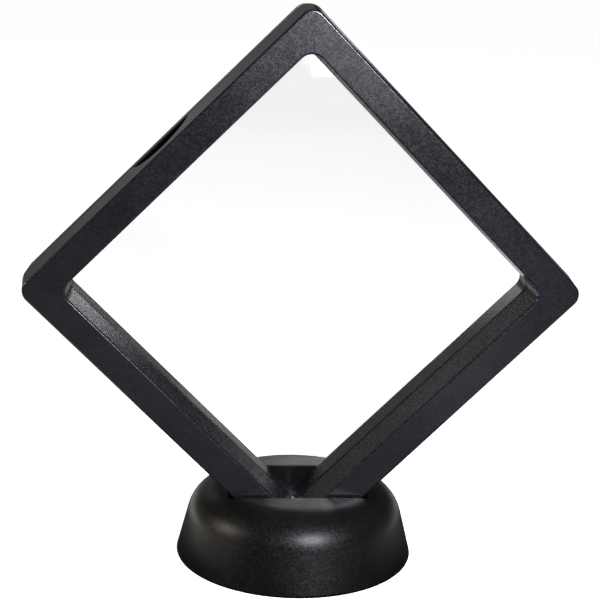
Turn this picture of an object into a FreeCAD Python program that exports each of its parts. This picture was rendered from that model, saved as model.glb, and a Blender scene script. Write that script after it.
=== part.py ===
import FreeCAD, Part
import math
import os
import Sketcher

# A floating display frame: two mirrored half frames, hinged along one side, each carrying a clear
# stretched film. Closed, they stand as a diamond in the V-shaped cradle of a round hollow base.
# World frame: +Z up, origin on the table under the base's axis, the frame's face looks along -Y.
# Each half frame is built flat in its own frame: its face on z = 0, its open side towards +z,
# its hinge side on +x and its closing side on -x.

# ---------------------------------------------------------------- driving sizes, in mm and degrees
SIZES = [
    # half frames
    ("side_length", 90.0, "outer side of a half frame at its face"),
    ("frame_depth", 19.4, "depth of the two closed halves"),
    ("face_width", 6.7, "width of the flat face ring"),
    ("draft_angle", 3.8, "walls lean out towards the parting plane"),
    ("outer_corner", 3.0, "outer corner radius at the face"),
    ("window_corner", 3.0, "window corner radius at the face"),
    ("face_wall", 1.6, "thickness of the face plate"),
    ("outer_wall", 1.6, "thickness of the outer wall"),
    ("inner_wall", 1.25, "thickness of the wall round the window"),
    ("parting_gap", 0.2, "gap between the two outer rims"),
    ("edge_round", 0.5, "rounding of the edges of the face"),
    ("rim_round", 0.25, "rounding of the rims at the parting plane"),
    ("least_corner", 1.0, "smallest corner radius inside the channel"),
    ("rib_thickness", 1.2, "ribs across the channel"),
    ("rib_inner_place", 13.0, "inner pair of ribs, from the middle of an arm"),
    ("rib_outer_place", 32.0, "outer pair of ribs, from the middle of an arm"),
    ("notch_length", 17.5, "thumb notch along the closing side"),
    ("notch_depth", 6.5, "thumb notch, from the rim towards the face"),
    # closing tabs of the front half, which slip inside the rear half's outer wall
    ("tab_length", 7.0, "closing tab along the side"),
    ("tab_thickness", 1.1, "closing tab thickness"),
    ("tab_reach", 2.2, "how far a tab reaches past the parting plane"),
    ("tab_gap", 0.3, "clearance between a tab and the rear half's wall"),
    ("tab_place", 14.0, "tab from the middle of the closing side"),
    # films and their carrier rings
    ("film_thickness", 0.12, "clear film"),
    ("film_gap", 0.36, "air between the two films"),
    ("carrier_width", 2.0, "width of a carrier ring's section"),
    ("carrier_height", 3.0, "height of a carrier ring's section"),
    ("carrier_gap", 0.2, "clearance round a carrier ring"),
    ("film_margin", 0.3, "film stops short of the carrier's outer side"),
    # hinge
    ("pin_radius", 0.7, "steel hinge pin"),
    ("pin_clearance", 0.04, "running clearance of a pin in its knuckles"),
    ("knuckle_radius", 1.5, "hinge knuckle"),
    ("hinge_stand_off", 0.9, "hinge axis outside the rim of the outer wall"),
    ("knuckle_gap", 0.2, "end clearance between knuckles"),
    ("centre_knuckle", 3.0, "length of a front knuckle"),
    ("side_knuckle", 2.3, "length of a rear knuckle"),
    ("hinge_place", 14.0, "hinge from the middle of the hinge side"),
    ("knuckle_relief", 0.3, "clearance round the other half's knuckle"),
    ("gusset_height", 4.0, "gusset under a knuckle"),
    # base
    ("base_radius", 27.9, "radius of the base on the table"),
    ("base_height", 17.2, "height of the base's flat top"),
    ("side_slope", 14.5, "base side, from the vertical"),
    ("top_round", 9.1, "rounding between the base's side and top"),
    ("foot_round", 0.6, "rounding of the base's lower edge"),
    ("base_wall", 2.0, "wall of the hollow base"),
    ("slot_width", 20.9, "cradle slot at the flat top, front to back"),
    ("slot_draft", 1.3, "draft of the slot's front and back walls"),
    ("slot_lead_in", 0.3, "bevel of the slot's mouth"),
    ("slot_wall", 1.8, "walls in front of and behind the slot"),
    ("cradle_gap", 0.1, "clearance between the frame and its cradle"),
    ("cradle_floor", 1.6, "thickness of the V-shaped cradle floor"),
    ("cradle_lift", 0.75, "underside of the cradle above the table"),
    ("base_rib", 1.2, "stiffening ribs under the base"),
    ("base_rib_place", 8.0, "ribs from the middle of the base"),
    ("base_rib_lift", 4.0, "ribs stop this far above the table"),
]

# ---------------------------------------------------------------- sizes worked out from those
HALF_DEPTH = "(Sizes.frame_depth / 2)"
RIM_HEIGHT = "(Sizes.frame_depth / 2 - Sizes.parting_gap / 2)"
FILM_SEAT = "(Sizes.frame_depth / 2 - Sizes.film_gap / 2 - Sizes.film_thickness)"
FACE_HALF = "(Sizes.side_length / 2)"
WINDOW_HALF = "(Sizes.side_length / 2 - Sizes.face_width)"
RIM_LEAN = f"({RIM_HEIGHT} * tan(Sizes.draft_angle))"
FLOOR_LEAN = "(Sizes.face_wall * tan(Sizes.draft_angle))"
RIM_HALF = f"({FACE_HALF} + {RIM_LEAN})"
RIM_CORNER = f"(Sizes.outer_corner + {RIM_LEAN})"
CHANNEL_OUTER = f"({FACE_HALF} + {FLOOR_LEAN} - Sizes.outer_wall)"
CHANNEL_INNER = f"({WINDOW_HALF} - {FLOOR_LEAN} + Sizes.inner_wall)"
CHANNEL_OUTER_CORNER = "(max(Sizes.outer_corner - Sizes.outer_wall; Sizes.least_corner))"
CHANNEL_INNER_CORNER = "(Sizes.window_corner + Sizes.inner_wall)"
CARRIER_BASE = f"({FILM_SEAT} - Sizes.carrier_height)"
CARRIER_INNER = (f"({WINDOW_HALF} - {CARRIER_BASE} * tan(Sizes.draft_angle)"
                 " + Sizes.inner_wall + Sizes.carrier_gap)")
CARRIER_OUTER = f"({CARRIER_INNER} + Sizes.carrier_width)"
TAB_OUTER = f"({RIM_HALF} - Sizes.outer_wall - Sizes.tab_gap)"
AXIS_X = f"({RIM_HALF} + Sizes.hinge_stand_off)"
CENTRE_HEIGHT = (f"(Sizes.cradle_lift + Sizes.cradle_floor + Sizes.cradle_gap"
                 f" + {RIM_HALF} * sqrt(2) - {RIM_CORNER} * (sqrt(2) - 1))")
HINGE_LENGTH = "(Sizes.centre_knuckle + 2 * Sizes.knuckle_gap + 2 * Sizes.side_knuckle)"
SIDE_KNUCKLE_PLACE = "((Sizes.centre_knuckle + Sizes.side_knuckle) / 2 + Sizes.knuckle_gap)"

# the hinge side of the diamond faces down and to the right
DOWN_RIGHT = FreeCAD.Vector(1, 0, -1)
FRONT_TURN = FreeCAD.Rotation(DOWN_RIGHT, FreeCAD.Vector(), FreeCAD.Vector(0, 1, 0), "ZXY")
REAR_TURN = FreeCAD.Rotation(DOWN_RIGHT, FreeCAD.Vector(), FreeCAD.Vector(0, -1, 0), "ZXY")


def make_sheet(doc):
    sheet = doc.addObject("Spreadsheet::Sheet", "Sizes")
    for row, (alias, value, note) in enumerate(SIZES, start=1):
        sheet.set(f"A{row}", alias)
        sheet.set(f"B{row}", str(value))
        sheet.set(f"C{row}", note)
        sheet.setAlias(f"B{row}", alias)
    doc.recompute()
    return sheet


def value_of(expression):
    """The present value of an expression on the sheet."""
    result = FreeCAD.ActiveDocument.getObject("Sizes").evalExpression(expression)
    return float(getattr(result, "Value", result))


# ---------------------------------------------------------------- sketch and feature helpers
def new_sketch(body, name, plane_role, offset=None):
    sketch = body.newObject("Sketcher::SketchObject", name)
    plane = next(item for item in body.Origin.OriginFeatures if item.Role == plane_role)
    sketch.AttachmentSupport = [(plane, "")]
    sketch.MapMode = "FlatFace"
    if offset:
        sketch.setExpression("AttachmentOffset.Base.z", offset)
    return sketch


def bind(sketch, name, expression, kind, *places):
    """Add a dimension to a sketch and tie it to the sheet. A negative distance swaps its ends."""
    value = value_of(expression)
    if value < 0:
        places = places[2:] + places[:2]
        expression = f"-({expression})"
    index = sketch.addConstraint(Sketcher.Constraint(kind, *places, abs(value)))
    sketch.renameConstraint(index, name)
    sketch.setExpression(f"Constraints.{name}", expression)


def add_polygon(sketch, prefix, points):
    """A closed outline of straight lines; points are pairs of expressions."""
    corners = [FreeCAD.Vector(value_of(x), value_of(y), 0) for x, y in points]
    first = sketch.GeometryCount
    count = len(corners)
    for step in range(count):
        sketch.addGeometry(Part.LineSegment(corners[step], corners[(step + 1) % count]), False)
    for step in range(count):
        sketch.addConstraint(Sketcher.Constraint(
            "Coincident", first + step, 2, first + (step + 1) % count, 1))
    for step, (x, y) in enumerate(points):
        bind(sketch, f"{prefix}_x{step}", x, "DistanceX", -1, 1, first + step, 1)
        bind(sketch, f"{prefix}_y{step}", y, "DistanceY", -1, 1, first + step, 1)


def add_circle(sketch, prefix, x, y, radius):
    centre = FreeCAD.Vector(value_of(x), value_of(y), 0)
    circle = sketch.addGeometry(Part.Circle(centre, FreeCAD.Vector(0, 0, 1), value_of(radius)), False)
    bind(sketch, f"{prefix}_radius", radius, "Radius", circle)
    bind(sketch, f"{prefix}_x", x, "DistanceX", -1, 1, circle, 3)
    bind(sketch, f"{prefix}_y", y, "DistanceY", -1, 1, circle, 3)


def add_rounded_square(sketch, prefix, half, radius):
    """A square round the sketch's origin with four rounded corners."""
    reach = value_of(half)
    corner = value_of(radius)
    inner = reach - corner
    up = FreeCAD.Vector(0, 0, 1)
    first = sketch.GeometryCount
    for quarter in range(4):
        turn = FreeCAD.Rotation(up, 90 * quarter)
        start = turn.multVec(FreeCAD.Vector(reach, -inner, 0))
        end = turn.multVec(FreeCAD.Vector(reach, inner, 0))
        centre = turn.multVec(FreeCAD.Vector(inner, inner, 0))
        angle = math.radians(90 * quarter)
        sketch.addGeometry(Part.LineSegment(start, end), False)
        circle = Part.Circle(centre, up, corner)
        sketch.addGeometry(Part.ArcOfCircle(circle, angle, angle + math.pi / 2), False)
    lines = [first + 2 * quarter for quarter in range(4)]
    arcs = [line + 1 for line in lines]
    for quarter in range(4):
        following = lines[(quarter + 1) % 4]
        sketch.addConstraint(Sketcher.Constraint("Tangent", lines[quarter], 2, arcs[quarter], 1))
        sketch.addConstraint(Sketcher.Constraint("Tangent", arcs[quarter], 2, following, 1))
        direction = "Vertical" if quarter % 2 == 0 else "Horizontal"
        sketch.addConstraint(Sketcher.Constraint(direction, lines[quarter]))
        if quarter:
            sketch.addConstraint(Sketcher.Constraint("Equal", arcs[0], arcs[quarter]))
    bind(sketch, f"{prefix}_corner", radius, "Radius", arcs[0])
    bind(sketch, f"{prefix}_right", half, "DistanceX", -1, 1, lines[0], 1)
    bind(sketch, f"{prefix}_top", half, "DistanceY", -1, 1, lines[1], 1)
    bind(sketch, f"{prefix}_left", half, "DistanceX", lines[2], 1, -1, 1)
    bind(sketch, f"{prefix}_bottom", half, "DistanceY", lines[3], 1, -1, 1)


def volume_of(body):
    FreeCAD.ActiveDocument.recompute()
    return body.Shape.Volume if not body.Shape.isNull() else 0.0


def extrude(body, kind, sketch, name, length, taper=None, symmetric=False, reverse=False):
    """A Pad or a Pocket. It stops the build if it adds or cuts nothing."""
    before = volume_of(body)
    feature = body.newObject(f"PartDesign::{kind}", name)
    feature.Profile = sketch
    feature.SideType = "Symmetric" if symmetric else "One side"
    feature.Reversed = reverse
    feature.setExpression("Length", length)
    if taper:
        feature.setExpression("TaperAngle", taper)
    after = volume_of(body)
    if (after <= before) if kind == "Pad" else (after >= before):
        raise RuntimeError(f"{body.Label}: {name} changed nothing")
    return feature


def fillet_edges(body, name, radius, chosen):
    """Round the edges of the body's present shape that the test picks."""
    base = body.Tip
    names = [f"Edge{number}" for number, edge in enumerate(base.Shape.Edges, start=1) if chosen(edge)]
    if not names:
        raise RuntimeError(f"{body.Label}: {name} found no edge")
    feature = body.newObject("PartDesign::Fillet", name)
    feature.Base = (base, names)
    feature.setExpression("Radius", radius)
    FreeCAD.ActiveDocument.recompute()


def ring_test(height, low, high):
    """Picks edges that lie at one height, between two squares round the z axis."""
    def chosen(edge):
        box = edge.BoundBox
        flat = abs(box.ZMin - height) < 1e-3 and abs(box.ZMax - height) < 1e-3
        middle = edge.valueAt((edge.FirstParameter + edge.LastParameter) / 2)
        reach = max(abs(middle.x), abs(middle.y))
        return flat and low < reach < high
    return chosen


def place(item, turn, height, depth=None):
    """Stand a flat-built piece up in the diamond: depth is its y, height its z."""
    item.Placement = FreeCAD.Placement(FreeCAD.Vector(), turn)
    item.setExpression("Placement.Base.z", height)
    if depth:
        item.setExpression("Placement.Base.y", depth)


def new_body(doc, label):
    body = doc.addObject("PartDesign::Body", label)
    body.Label = label
    return body


# ---------------------------------------------------------------- the two half frames
def add_shell(body):
    """The drafted square ring, open towards +z, with its channel and rounded edges."""
    outline = new_sketch(body, "outline", "XY_Plane")
    add_rounded_square(outline, "outer", FACE_HALF, "Sizes.outer_corner")
    extrude(body, "Pad", outline, "ring_block", RIM_HEIGHT, taper="Sizes.draft_angle")

    tray = new_sketch(body, "tray", "XY_Plane", "Sizes.face_wall")
    add_rounded_square(tray, "tray", CHANNEL_OUTER, CHANNEL_OUTER_CORNER)
    extrude(body, "Pocket", tray, "tray_hollow", f"{RIM_HEIGHT} - Sizes.face_wall",
            taper="Sizes.draft_angle", reverse=True)

    island = new_sketch(body, "island", "XY_Plane", "Sizes.face_wall")
    add_rounded_square(island, "island", CHANNEL_INNER, CHANNEL_INNER_CORNER)
    extrude(body, "Pad", island, "window_island", f"{FILM_SEAT} - Sizes.face_wall",
            taper="-Sizes.draft_angle")

    window = new_sketch(body, "window", "XY_Plane")
    add_rounded_square(window, "window", WINDOW_HALF, "Sizes.window_corner")
    extrude(body, "Pocket", window, "window_opening", RIM_HEIGHT, taper="-Sizes.draft_angle",
            reverse=True)

    face_half = value_of(FACE_HALF)
    window_half = value_of(WINDOW_HALF)
    middle = (face_half + window_half) / 2
    fillet_edges(body, "outer_edge", "Sizes.edge_round", ring_test(0, middle, 2 * face_half))
    fillet_edges(body, "window_edge", "Sizes.edge_round", ring_test(0, 0, middle))
    rim_edge = value_of(f"{RIM_HALF} - Sizes.outer_wall / 2")
    fillet_edges(body, "outer_rim_edge", "Sizes.rim_round",
                 ring_test(value_of(RIM_HEIGHT), rim_edge, 2 * face_half))
    fillet_edges(body, "window_rim_edge", "Sizes.rim_round",
                 ring_test(value_of(FILM_SEAT), 0, value_of(f"{CHANNEL_INNER} - Sizes.inner_wall")))


def add_ribs(body):
    """Ribs across the channel that the carrier ring sits on: four to an arm."""
    sketch = new_sketch(body, "rib_profiles", "XY_Plane", "Sizes.face_wall / 2")
    overlap = "Sizes.inner_wall / 2"
    for number, where in enumerate(("Sizes.rib_inner_place", "Sizes.rib_outer_place")):
        for side in ("", "-"):
            low = f"{side}{where} - Sizes.rib_thickness / 2"
            high = f"{side}{where} + Sizes.rib_thickness / 2"
            inner = f"{CHANNEL_INNER} - {overlap}"
            outer = f"{CHANNEL_OUTER} + {overlap}"
            name = f"rib{number}{'low' if side else 'high'}"
            add_polygon(sketch, name, [(inner, low), (outer, low), (outer, high), (inner, high)])
    ribs = extrude(body, "Pad", sketch, "arm_ribs", f"{CARRIER_BASE} - Sizes.face_wall / 2")
    before = volume_of(body)
    pattern = body.newObject("PartDesign::PolarPattern", "rib_pattern")
    pattern.Originals = [ribs]
    axis = next(item for item in body.Origin.OriginFeatures if item.Role == "Z_Axis")
    pattern.Axis = (axis, [""])
    pattern.Occurrences = 4
    pattern.Angle = 360
    body.Tip = pattern
    if volume_of(body) <= before:
        raise RuntimeError(f"{body.Label}: the rib pattern added nothing")


def add_relief(body, name, place_along, length):
    """Room in the outer wall for one of the other half's knuckles."""
    sketch = new_sketch(body, f"{name}_profile", "XZ_Plane", f"-({place_along})")
    add_circle(sketch, "relief", AXIS_X, HALF_DEPTH, "Sizes.knuckle_radius + Sizes.knuckle_relief")
    extrude(body, "Pocket", sketch, name, f"{length} + 2 * Sizes.knuckle_gap", symmetric=True)


def add_knuckle(body, name, place_along, length):
    """A knuckle with a gusset down the outer wall, bored for the pin later."""
    sketch = new_sketch(body, f"{name}_profile", "XZ_Plane", f"-({place_along})")
    root_x = f"{RIM_HALF} - Sizes.outer_wall / 2"
    drop = f"{RIM_HEIGHT} - Sizes.gusset_height"
    centre = FreeCAD.Vector(value_of(AXIS_X), value_of(HALF_DEPTH), 0)
    radius = value_of("Sizes.knuckle_radius")
    circle = Part.Circle(centre, FreeCAD.Vector(0, 0, 1), radius)
    # a first guess at the arc's ends: the constraints below move them
    arc = Part.ArcOfCircle(circle, math.radians(-40), math.radians(184))
    tip = arc.StartPoint
    back = arc.EndPoint
    top = FreeCAD.Vector(value_of(root_x), value_of(RIM_HEIGHT), 0)
    low = FreeCAD.Vector(value_of(root_x), value_of(drop), 0)
    sketch.addGeometry([arc, Part.LineSegment(back, top), Part.LineSegment(top, low),
                        Part.LineSegment(low, tip)], False)
    sketch.addConstraint([
        Sketcher.Constraint("Coincident", 0, 2, 1, 1),
        Sketcher.Constraint("Coincident", 1, 2, 2, 1),
        Sketcher.Constraint("Coincident", 2, 2, 3, 1),
        Sketcher.Constraint("Tangent", 3, 2, 0, 1),
        Sketcher.Constraint("Horizontal", 1),
        Sketcher.Constraint("Vertical", 2)])
    bind(sketch, "knuckle", "Sizes.knuckle_radius", "Radius", 0)
    bind(sketch, "axis_x", AXIS_X, "DistanceX", -1, 1, 0, 3)
    bind(sketch, "axis_z", HALF_DEPTH, "DistanceY", -1, 1, 0, 3)
    bind(sketch, "root_x", root_x, "DistanceX", -1, 1, 2, 1)
    bind(sketch, "root_top", RIM_HEIGHT, "DistanceY", -1, 1, 2, 1)
    bind(sketch, "root_low", drop, "DistanceY", -1, 1, 2, 2)
    extrude(body, "Pad", sketch, name, length, symmetric=True)


def add_hinge(body, own, other):
    """Cut room for the other half's knuckles, add this half's own and bore them.
    own and other are lists of (name, place along the side, length)."""
    for name, where, length in other:
        add_relief(body, f"room_for_{name}", where, length)
    for name, where, length in own:
        add_knuckle(body, name, where, length)
    bore = new_sketch(body, "pin_bore_profile", "XZ_Plane")
    add_circle(bore, "bore", AXIS_X, HALF_DEPTH, "Sizes.pin_radius + Sizes.pin_clearance")
    extrude(body, "Pocket", bore, "pin_bore", "Sizes.side_length", symmetric=True)


def add_thumb_notch(body):
    """A shallow arc cut from the rim of the closing side's outer wall."""
    reach = "(Sizes.notch_length / 2)"
    arc_radius = f"(({reach}^2 + Sizes.notch_depth^2) / (2 * Sizes.notch_depth))"
    sketch = new_sketch(body, "notch_profile", "YZ_Plane", f"-({RIM_HALF} + Sizes.outer_wall)")
    add_circle(sketch, "notch", "0", f"{RIM_HEIGHT} - Sizes.notch_depth + {arc_radius}", arc_radius)
    extrude(body, "Pocket", sketch, "thumb_notch", "2.5 * Sizes.outer_wall", reverse=True)


def add_closing_tabs(body):
    """Two tabs on the closing side that slip inside the rear half's outer wall."""
    inner = f"-({TAB_OUTER} - Sizes.tab_thickness)"
    steps = [("tab_root", f"-({TAB_OUTER} + Sizes.tab_gap + Sizes.outer_wall / 2)",
              f"{FILM_SEAT} - Sizes.face_wall / 2"),
             ("tab", f"-({TAB_OUTER})",
              f"{HALF_DEPTH} + Sizes.tab_reach - Sizes.face_wall / 2")]
    for name, outer, height in steps:
        sketch = new_sketch(body, f"{name}_profiles", "XY_Plane", "Sizes.face_wall / 2")
        for side in ("", "-"):
            low = f"{side}Sizes.tab_place - Sizes.tab_length / 2"
            high = f"{side}Sizes.tab_place + Sizes.tab_length / 2"
            prefix = "low" if side else "high"
            add_polygon(sketch, prefix, [(outer, low), (inner, low), (inner, high), (outer, high)])
        extrude(body, "Pad", sketch, f"{name}s", height)


def make_half_frames(doc):
    """The front half with its notch and tabs, and the rear half that the base holds."""
    front_knuckles = []
    rear_knuckles = []
    for name, side in (("upper", "-"), ("lower", "")):
        middle = f"{side}Sizes.hinge_place"
        front_knuckles.append((f"{name}_knuckle", middle, "Sizes.centre_knuckle"))
        for end in ("-", "+"):
            where = f"{middle} {end} {SIDE_KNUCKLE_PLACE}"
            label = f"{name}_knuckle_{'a' if end == '-' else 'b'}"
            rear_knuckles.append((label, where, "Sizes.side_knuckle"))

    def mirrored(knuckles):
        # the rear half is built face down the other way, so its y axis runs the other way too
        return [(name, f"-({where})", length) for name, where, length in knuckles]

    front = new_body(doc, "front_frame")
    add_shell(front)
    add_ribs(front)
    add_hinge(front, front_knuckles, rear_knuckles)
    add_thumb_notch(front)
    add_closing_tabs(front)
    place(front, FRONT_TURN, CENTRE_HEIGHT, f"-{HALF_DEPTH}")

    rear = new_body(doc, "rear_frame")
    add_shell(rear)
    add_ribs(rear)
    add_hinge(rear, mirrored(rear_knuckles), mirrored(front_knuckles))
    place(rear, REAR_TURN, CENTRE_HEIGHT, HALF_DEPTH)
    return [front, rear]


# ---------------------------------------------------------------- films and carrier rings
def make_carrier_ring(doc, label, turn, depth):
    """The square ring in a half's channel that the film is sealed to."""
    body = new_body(doc, label)
    sketch = new_sketch(body, "ring_profile", "XY_Plane", CARRIER_BASE)
    add_rounded_square(sketch, "outer", CARRIER_OUTER, f"{CHANNEL_INNER_CORNER} + Sizes.carrier_width")
    add_rounded_square(sketch, "inner", CARRIER_INNER, CHANNEL_INNER_CORNER)
    extrude(body, "Pad", sketch, "ring", "Sizes.carrier_height")
    place(body, turn, CENTRE_HEIGHT, depth)
    return body


def make_film(doc, label, turn, depth):
    """The flat clear film across the window, on the window's rim and the carrier ring."""
    body = new_body(doc, label)
    sketch = new_sketch(body, "film_profile", "XY_Plane", FILM_SEAT)
    add_rounded_square(sketch, "film", f"{CARRIER_OUTER} - Sizes.film_margin",
                       f"{CHANNEL_INNER_CORNER} + Sizes.carrier_width")
    extrude(body, "Pad", sketch, "sheet", "Sizes.film_thickness")
    place(body, turn, CENTRE_HEIGHT, depth)
    return body


def make_hinge_pin(doc, label, place_along):
    """A straight steel pin through one group of knuckles."""
    body = new_body(doc, label)
    sketch = new_sketch(body, "pin_profile", "XZ_Plane", f"-({place_along})")
    add_circle(sketch, "pin", AXIS_X, HALF_DEPTH, "Sizes.pin_radius")
    extrude(body, "Pad", sketch, "pin", HINGE_LENGTH, symmetric=True)
    place(body, FRONT_TURN, CENTRE_HEIGHT, f"-{HALF_DEPTH}")
    return body


# ---------------------------------------------------------------- the base
def make_turned_body(doc, label, inset):
    """The base's outer form turned about z, or the same form set in by a wall thickness."""
    body = new_body(doc, label)
    sketch = new_sketch(body, "half_section", "XZ_Plane")
    top_radius = f"(Sizes.top_round - {inset})"
    top = f"(Sizes.base_height - {inset})"
    # the centre of the top rounding lies one rounding radius inside both the side and the top
    centre_z = "(Sizes.base_height - Sizes.top_round)"
    side_reach = (f"(Sizes.base_radius - {centre_z} * tan(Sizes.side_slope)"
                  " - Sizes.top_round / cos(Sizes.side_slope))")
    slope = math.radians(value_of("Sizes.side_slope"))
    reach = value_of(side_reach)
    middle = value_of(centre_z)
    round_now = value_of(top_radius)
    foot = value_of(f"Sizes.base_radius - ({inset}) / cos(Sizes.side_slope)")
    centre = FreeCAD.Vector(reach, middle, 0)
    circle = Part.Circle(centre, FreeCAD.Vector(0, 0, 1), round_now)
    arc = Part.ArcOfCircle(circle, slope, math.pi / 2)
    sketch.addGeometry([
        Part.LineSegment(FreeCAD.Vector(0, 0, 0), FreeCAD.Vector(foot, 0, 0)),
        Part.LineSegment(FreeCAD.Vector(foot, 0, 0), arc.StartPoint),
        arc,
        Part.LineSegment(arc.EndPoint, FreeCAD.Vector(0, value_of(top), 0)),
        Part.LineSegment(FreeCAD.Vector(0, value_of(top), 0), FreeCAD.Vector(0, 0, 0))], False)
    sketch.addConstraint([
        Sketcher.Constraint("Coincident", 0, 1, -1, 1),
        Sketcher.Constraint("Coincident", 0, 2, 1, 1),
        Sketcher.Constraint("Tangent", 1, 2, 2, 1),
        Sketcher.Constraint("Tangent", 2, 2, 3, 1),
        Sketcher.Constraint("Coincident", 3, 2, 4, 1),
        Sketcher.Constraint("Coincident", 4, 2, 0, 1),
        Sketcher.Constraint("Horizontal", 0),
        Sketcher.Constraint("Horizontal", 3),
        Sketcher.Constraint("Vertical", 4)])
    bind(sketch, "top_round", top_radius, "Radius", 2)
    bind(sketch, "centre_x", side_reach, "DistanceX", -1, 1, 2, 3)
    bind(sketch, "centre_z", centre_z, "DistanceY", -1, 1, 2, 3)
    bind(sketch, "foot", f"Sizes.base_radius - ({inset}) / cos(Sizes.side_slope)",
         "DistanceX", -1, 1, 0, 2)
    form = body.newObject("PartDesign::Revolution", "form")
    form.Profile = sketch
    axis = next(item for item in body.Origin.OriginFeatures if item.Role == "Z_Axis")
    form.ReferenceAxis = (axis, [""])
    form.Angle = 360
    doc.recompute()
    return body


def make_diamond_block(doc, label, margin, width):
    """The closed frame's rim outline grown by a margin, standing as a diamond, some width deep."""
    body = new_body(doc, label)
    sketch = new_sketch(body, "outline", "XY_Plane")
    add_rounded_square(sketch, "rim", f"{RIM_HALF} + {margin}", f"{RIM_CORNER} + {margin}")
    extrude(body, "Pad", sketch, "block", width, symmetric=True)
    place(body, FRONT_TURN, CENTRE_HEIGHT)
    return body


def make_slot_space(doc):
    """The space between the slot's front and back walls, seen along x, with its lead-in bevel."""
    body = new_body(doc, "slot_space")
    sketch = new_sketch(body, "profile", "YZ_Plane")
    top = "(Sizes.slot_width / 2)"
    low = f"({top} - Sizes.base_height * tan(Sizes.slot_draft))"
    bevel = "Sizes.slot_lead_in"
    shoulder = f"Sizes.base_height - {bevel}"
    points = [(low, "0"), (top, shoulder), (f"{top} + {bevel}", "Sizes.base_height"),
              (f"{top} + {bevel}", "2 * Sizes.base_height")]
    mirrored = [(f"-({x})", z) for x, z in reversed(points)]
    add_polygon(sketch, "slot", points + mirrored)
    extrude(body, "Pad", sketch, "space", "2 * Sizes.side_length", symmetric=True)
    return body


def make_rib_plates(doc):
    """Two plates under the base, front to back, beside the middle."""
    plates = []
    for name, side in (("left_rib", "-"), ("right_rib", "")):
        box = doc.addObject("Part::Box", name)
        box.setExpression("Length", "Sizes.base_rib")
        box.setExpression("Width", "2 * Sizes.base_radius")
        box.setExpression("Height", "Sizes.base_height")
        box.setExpression("Placement.Base.x", f"{side}Sizes.base_rib_place - Sizes.base_rib / 2")
        box.setExpression("Placement.Base.y", "-Sizes.base_radius")
        box.setExpression("Placement.Base.z", "Sizes.base_rib_lift")
        plates.append(box)
    return plates


def boolean(doc, kind, label, base, tools):
    feature = doc.addObject(f"Part::{kind}", label)
    feature.Label = label
    if kind in ("MultiFuse", "MultiCommon"):
        feature.Shapes = [base] + tools
    else:
        feature.Base = base
        feature.Tool = tools[0]
    doc.recompute()
    return feature


def make_base(doc):
    """A hollow turned shell, open below, with the walls and V floor of its cradle inside."""
    dome = make_turned_body(doc, "dome", "0")
    foot_edge = value_of("Sizes.base_radius")
    fillet_edges(dome, "foot_edge", "Sizes.foot_round", ring_test(0, foot_edge / 2, 2 * foot_edge))
    hollow = make_turned_body(doc, "hollow", "Sizes.base_wall")
    core = make_diamond_block(doc, "cradle_core", "(Sizes.cradle_gap + Sizes.cradle_floor)",
                              "Sizes.slot_width + 2 * Sizes.slot_wall")
    inside = boolean(doc, "MultiFuse", "inside_walls", core, make_rib_plates(doc))
    cavity = boolean(doc, "Cut", "cavity", hollow, [inside])
    shell = boolean(doc, "Cut", "shell", dome, [cavity])
    diamond = make_diamond_block(doc, "diamond_space", "Sizes.cradle_gap", "2 * Sizes.base_radius")
    slot = boolean(doc, "MultiCommon", "slot", make_slot_space(doc), [diamond])
    return boolean(doc, "Cut", "base_stand", shell, [slot])


# ---------------------------------------------------------------- the whole part
def check_document(doc, pieces):
    for item in doc.Objects:
        if "Invalid" in item.State or "Error" in item.State:
            raise RuntimeError(f"{item.Label} failed: {item.State}")
    for piece in pieces:
        if piece.Shape.isNull() or not piece.Shape.isValid():
            raise RuntimeError(f"{piece.Label} has no valid shape")
        if len(piece.Shape.Solids) != 1:
            raise RuntimeError(f"{piece.Label} has {len(piece.Shape.Solids)} solids")


def main():
    doc = FreeCAD.newDocument("floating_frame")
    make_sheet(doc)
    pieces = make_half_frames(doc)
    pieces.append(make_carrier_ring(doc, "front_carrier_ring", FRONT_TURN, f"-{HALF_DEPTH}"))
    pieces.append(make_carrier_ring(doc, "rear_carrier_ring", REAR_TURN, HALF_DEPTH))
    pieces.append(make_film(doc, "front_film", FRONT_TURN, f"-{HALF_DEPTH}"))
    pieces.append(make_film(doc, "rear_film", REAR_TURN, HALF_DEPTH))
    pieces.append(make_hinge_pin(doc, "upper_hinge_pin", "-Sizes.hinge_place"))
    pieces.append(make_hinge_pin(doc, "lower_hinge_pin", "Sizes.hinge_place"))
    pieces.append(make_base(doc))
    doc.recompute()
    check_document(doc, pieces)
    os.makedirs("parts", exist_ok=True)
    for piece in pieces:
        piece.Shape.exportStep(f"parts/{piece.Label}.step")
        print(f"{piece.Label}: {piece.Shape.Volume:.1f} mm3")


main()
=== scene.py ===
import math

import bpy
from mathutils import Matrix, Vector

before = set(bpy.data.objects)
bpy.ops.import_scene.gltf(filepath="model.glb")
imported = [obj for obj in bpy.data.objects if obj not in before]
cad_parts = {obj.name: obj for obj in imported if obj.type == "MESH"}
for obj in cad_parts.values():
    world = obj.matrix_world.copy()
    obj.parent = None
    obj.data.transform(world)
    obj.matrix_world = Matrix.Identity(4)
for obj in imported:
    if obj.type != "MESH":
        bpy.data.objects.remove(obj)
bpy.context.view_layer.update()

MM = 0.001
WHITE = (1, 1, 1)
CENTRE_HEIGHT = 0.06548         # middle of the diamond-shaped frame, above the table
CAMERA_FROM_CENTRE = (-0.03249, -0.34473, 0.08645)
CAMERA_YAW = 5.362              # degrees
CAMERA_PITCH = -14.639
CAMERA_ROLL = 1.763
SENSOR_WIDTH = 36.0             # millimetres
FOCAL_LENGTH = 93.636           # millimetres, on that sensor
CLIP_START = 0.01
FLOOR_REACH = 6.0
FLOOR_GLOW = 0.94
BACKDROP_SEEN = 1.3             # brightness of the surroundings to the camera
ROOM_LIGHT = 0.045              # brightness of the surroundings to everything else


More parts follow.
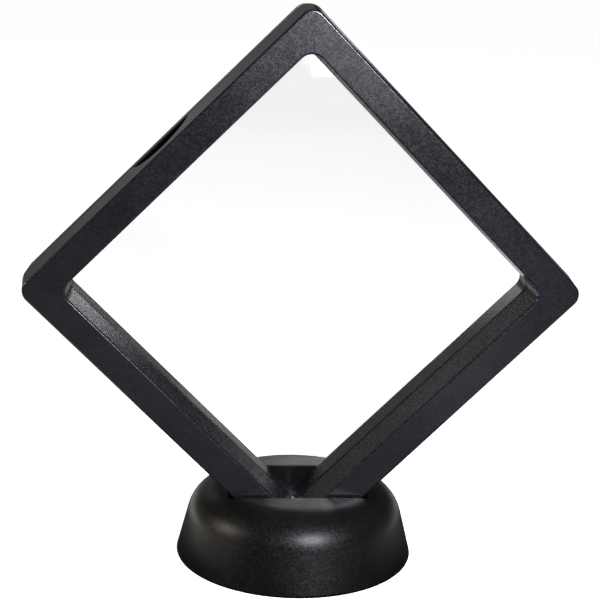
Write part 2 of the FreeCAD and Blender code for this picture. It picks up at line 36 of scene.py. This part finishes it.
# ------------------------------------------------------------------ node helper
class Nodes:
    """A small helper to build a node material around one Principled shader."""

    def __init__(self, name, colour, roughness):
        self.material = bpy.data.materials.new(name)
        self.material.use_nodes = True
        self.tree = self.material.node_tree
        self.shader = self.tree.nodes["Principled BSDF"]
        self.set("Base Color", (*colour, 1))
        self.set("Roughness", roughness)
        self.coords = self.add("ShaderNodeTexCoord").outputs["Object"]

    def set(self, socket, value):
        self.shader.inputs[socket].default_value = value

    def add(self, kind, **values):
        """A new node; each value goes to the input of that name, or else to the node itself."""
        node = self.tree.nodes.new(kind)
        for key, value in values.items():
            if key in node.inputs:
                node.inputs[key].default_value = value
            else:
                setattr(node, key, value)
        return node

    def link(self, output, node, socket):
        self.tree.links.new(output, node.inputs[socket])

    def noise(self, size, detail=2.0, roughness=0.5):
        """Smooth noise, from 0 to 1, with features of about this size in metres."""
        node = self.add("ShaderNodeTexNoise", Scale=1 / size, Detail=detail, Roughness=roughness)
        self.link(self.coords, node, "Vector")
        return node.outputs["Fac"]

    def cells(self, size):
        """One random number for each small cell of the surface."""
        node = self.add("ShaderNodeTexVoronoi", Scale=1 / size)
        self.link(self.coords, node, "Vector")
        split = self.add("ShaderNodeSeparateColor")
        self.link(node.outputs["Color"], split, "Color")
        return split.outputs["Red"]

    def remap(self, value, source, result):
        """A value in the source range, carried over to the result range and kept inside it."""
        node = self.add("ShaderNodeMapRange")
        self.link(value, node, "Value")
        node.inputs["From Min"].default_value, node.inputs["From Max"].default_value = source
        node.inputs["To Min"].default_value, node.inputs["To Max"].default_value = result
        return node.outputs["Result"]

    def total(self, first, second):
        node = self.add("ShaderNodeMath", operation="ADD")
        self.tree.links.new(first, node.inputs[0])
        self.tree.links.new(second, node.inputs[1])
        return node.outputs["Value"]

    def blend(self, factor, first, second):
        """A colour between two others, the first where the factor is 0 and the second where it is 1."""
        node = self.add("ShaderNodeMix", data_type="RGBA")
        self.link(factor, node, "Factor")
        colours = [socket for socket in node.inputs if socket.type == "RGBA"]
        colours[0].default_value = (*first, 1)
        colours[1].default_value = (*second, 1)
        return [socket for socket in node.outputs if socket.type == "RGBA"][0]

    def bump(self, height, distance):
        """Dents of this depth, as a change of the surface's normal."""
        node = self.add("ShaderNodeBump", Distance=distance)
        self.link(height, node, "Height")
        return node.outputs["Normal"]


# ------------------------------------------------------------------ materials
def moulded_plastic(name, dark, light, roughness, grain, height, glint=0.07, tint=WHITE, dullest=0.78):
    """Black plastic from a spark-eroded mould: fine pits, glinting grains, faint mottling and painted shade
    in the pits.

    grain is the size of the pits and height their depth, both in metres. glint is how far the
    grains differ in roughness, and dullest how much of the mirrored light the dullest returns.
    """
    mat = Nodes(name, dark, roughness)
    pits = mat.noise(grain, detail=2.0, roughness=0.7)
    mat.link(mat.bump(pits, height), mat.shader, "Normal")
    grains = mat.cells(grain)
    dull_tint = tuple(dullest * part for part in tint)
    mat.link(mat.blend(grains, dull_tint, tint), mat.shader, "Specular Tint")
    wide = mat.noise(20 * MM, detail=4.0)
    patches = mat.remap(wide, (0.35, 0.65), (roughness - 0.03, roughness + 0.03))
    glints = mat.remap(grains, (0.0, 1.0), (-glint, glint))
    mat.link(mat.total(patches, glints), mat.shader, "Roughness")
    cloud = mat.remap(mat.noise(6 * MM, detail=5.0), (0.35, 0.65), (0.15, 0.6))
    # painted shade in the pits: the base colour follows the pit heights, darker where the surface is low
    # and lighter on the grain tops
    pit_shade_speckle = mat.remap(pits, (0.3, 0.7), (-0.15, 0.4))
    mat.link(mat.blend(mat.total(cloud, pit_shade_speckle), dark, light), mat.shader, "Base Color")
    return mat.material


def frame_plastic():
    return moulded_plastic(
        "frame_plastic",
        dark=(0.003, 0.003, 0.004),
        light=(0.007, 0.006, 0.009),
        roughness=0.25,
        grain=0.36 * MM,
        height=0.007 * MM,
        glint=0.05,
        tint=(0.96, 0.94, 1.0),
    )


def carrier_plastic():
    return moulded_plastic(
        "carrier_plastic",
        dark=(0.006, 0.006, 0.006),
        light=(0.014, 0.014, 0.014),
        roughness=0.34,
        grain=0.25 * MM,
        height=0.005 * MM,
    )


def base_plastic():
    return moulded_plastic(
        "base_plastic",
        dark=(0.001, 0.001, 0.001),
        light=(0.004, 0.004, 0.004),
        roughness=0.38,
        grain=0.32 * MM,
        height=0.014 * MM,
        tint=(0.48, 0.48, 0.50),
        dullest=0.55,
    )


def clear_film():
    """Taut clear film: it mirrors a little and passes the rest, with faint ripples and smudges."""
    mat = Nodes("clear_film", WHITE, 0.04)
    mat.set("Metallic", 1.0)
    mat.set("Alpha", 0.04)
    ripples = mat.noise(16 * MM, detail=1.0)
    mat.link(mat.bump(ripples, 0.03 * MM), mat.shader, "Normal")
    smudges = mat.remap(mat.noise(7 * MM, detail=4.0), (0.45, 0.75), (0.03, 0.16))
    mat.link(smudges, mat.shader, "Roughness")
    return mat.material


def drawn_steel():
    """Steel wire, with the fine marks of drawing and a faint cloudiness."""
    mat = Nodes("drawn_steel", (0.55, 0.55, 0.56), 0.3)
    mat.set("Metallic", 1.0)
    marks = mat.noise(0.12 * MM, detail=2.0)
    mat.link(mat.bump(marks, 0.004 * MM), mat.shader, "Normal")
    mat.link(mat.remap(marks, (0.3, 0.7), (0.22, 0.42)), mat.shader, "Roughness")
    clouds = mat.noise(1.5 * MM)
    mat.link(mat.blend(clouds, (0.45, 0.45, 0.46), (0.62, 0.62, 0.63)), mat.shader, "Base Color")
    return mat.material


def give(material, *nodes):
    for node in nodes:
        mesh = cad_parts[node].data
        mesh.materials.clear()
        mesh.materials.append(material)


give(frame_plastic(), "front_frame", "rear_frame")
give(carrier_plastic(), "front_carrier_ring", "rear_carrier_ring")
give(base_plastic(), "base_stand")
give(clear_film(), "front_film", "rear_film")
give(drawn_steel(), "upper_hinge_pin", "lower_hinge_pin")


# ------------------------------------------------------------------ camera
def camera_axes():
    """The camera's right, up and forward directions."""
    yaw = math.radians(CAMERA_YAW)
    pitch = math.radians(CAMERA_PITCH)
    roll = math.radians(CAMERA_ROLL)
    level = Vector((math.cos(yaw), -math.sin(yaw), 0))
    ahead = Vector((math.sin(yaw), math.cos(yaw), 0))
    forward = math.cos(pitch) * ahead + math.sin(pitch) * Vector((0, 0, 1))
    upright = level.cross(forward)
    right = math.cos(roll) * level + math.sin(roll) * upright
    up = math.cos(roll) * upright - math.sin(roll) * level
    return right, up, forward


def make_camera():
    right, up, forward = camera_axes()
    place = Vector((0, 0, CENTRE_HEIGHT)) + Vector(CAMERA_FROM_CENTRE)
    data = bpy.data.cameras.new("camera")
    data.sensor_width = SENSOR_WIDTH
    data.lens = FOCAL_LENGTH
    data.clip_start = CLIP_START
    camera = bpy.data.objects.new("camera", data)
    turn = Matrix((right, up, -forward)).transposed()
    camera.matrix_world = Matrix.Translation(place) @ turn.to_4x4()
    bpy.context.scene.collection.objects.link(camera)
    bpy.context.scene.camera = camera


make_camera()


# ------------------------------------------------------------------ stage and light
def make_floor():
    """A pale sheet that glows a little, so it looks white without strong light on the object."""
    mesh = bpy.data.meshes.new("floor")
    near_left = (-FLOOR_REACH, -FLOOR_REACH, 0)
    near_right = (FLOOR_REACH, -FLOOR_REACH, 0)
    far_right = (FLOOR_REACH, FLOOR_REACH, 0)
    far_left = (-FLOOR_REACH, FLOOR_REACH, 0)
    mesh.from_pydata([near_left, near_right, far_right, far_left], [], [(0, 1, 2, 3)])
    floor = bpy.data.objects.new("floor", mesh)
    bpy.context.scene.collection.objects.link(floor)
    mat = Nodes("floor", (0.9, 0.9, 0.9), 0.9)
    mat.set("Specular IOR Level", 0.0)
    mat.set("Emission Color", (*WHITE, 1))
    mat.set("Emission Strength", FLOOR_GLOW)
    mesh.materials.append(mat.material)
    floor.visible_glossy = False
    floor.visible_diffuse = False


def make_world():
    """White surroundings to the camera, and a dim room to everything else."""
    world = bpy.data.worlds.new("world")
    bpy.context.scene.world = world
    world.use_nodes = True
    tree = world.node_tree
    room = tree.nodes["Background"]
    backdrop = tree.nodes.new("ShaderNodeBackground")
    for background, strength in ((room, ROOM_LIGHT), (backdrop, BACKDROP_SEEN)):
        background.inputs["Color"].default_value = (*WHITE, 1)
        background.inputs["Strength"].default_value = strength
    path = tree.nodes.new("ShaderNodeLightPath")
    mix = tree.nodes.new("ShaderNodeMixShader")
    tree.links.new(path.outputs["Is Camera Ray"], mix.inputs[0])
    tree.links.new(room.outputs["Background"], mix.inputs[1])
    tree.links.new(backdrop.outputs["Background"], mix.inputs[2])
    tree.links.new(mix.outputs["Shader"], tree.nodes["World Output"].inputs["Surface"])


def area_light(name, place, target, size, power, colour=WHITE):
    """A soft panel of light, unseen by the camera. place and target are points, in metres."""
    data = bpy.data.lights.new(name, "AREA")
    data.shape = "RECTANGLE"
    data.size, data.size_y = size
    data.energy = power
    data.color = colour
    light = bpy.data.objects.new(name, data)
    light.location = place
    aim = Vector(target) - Vector(place)
    light.rotation_euler = aim.to_track_quat("-Z", "Y").to_euler()
    light.visible_camera = False
    bpy.context.scene.collection.objects.link(light)


def make_lights():
    """Soft panels. The ones flat on the table stand for its light, as the floor casts none."""
    # the main lamp, in front and to the right
    area_light("key", (0.072, -0.258, 0.184), (0, 0, 0.06), (0.04, 0.03), 1.9, (0.98, 0.985, 1.04))
    # brightens the frame's top corner
    area_light("top_glow", (0.037, -0.21, 0.104), (0.01, 0, 0.12), (0.03, 0.03), 0.010, (0.98, 0.985, 1.04))
    # a warm lamp far to the left
    area_light("warm_left", (-0.45, -0.06, 0.21), (0, 0, 0.06), (0.10, 0.10), 1.05, (1, 0.90, 0.76))
    # light off the table on the left
    area_light("left_bounce", (-0.20, 0.08, 0.002), (-0.20, 0.08, 1), (0.28, 0.30), 0.55, (1, 0.95, 0.86))
    # light off the table on the right
    area_light("right_bounce", (0.20, 0.08, 0.002), (0.20, 0.08, 1), (0.28, 0.30), 0.28)
    # the sheen low on the base
    area_light("low_front", (0.035, -0.14, 0.016), (0, 0, 0.01), (0.07, 0.02), 0.006)
    # light off the table in front
    area_light("front_bounce", (0, -0.17, 0.002), (0, -0.17, 1), (0.30, 0.26), 0.065)
    # light off the table behind
    area_light("back_bounce", (0, 0.27, 0.002), (0, 0.27, 1), (0.60, 0.48), 0.24)
    # mirrored by the base's flat top
    area_light("near_back", (0.042, 0.30, 0.105), (0.042, 0, 0.105), (0.08, 0.06), 0.018)
    # soft light from above
    area_light("overhead", (0, 0.05, 0.80), (0, 0, 0.06), (0.50, 0.50), 0.28)
    # mirrored by the lower right inner walls and the upper left wall
    area_light("back_left", (-0.15, 0.60, 0.20), (0, 0, 0.06), (0.50, 0.32), 0.072, (1, 0.95, 0.88))
    # mirrored by the upper left wall
    area_light("near_left", (-0.17, 0.30, 0.195), (-0.03, 0, 0.10), (0.12, 0.11), 0.015, (1, 0.93, 0.85))


make_floor()
make_world()
make_lights()
bpy.context.scene.view_settings.view_transform = "Standard"
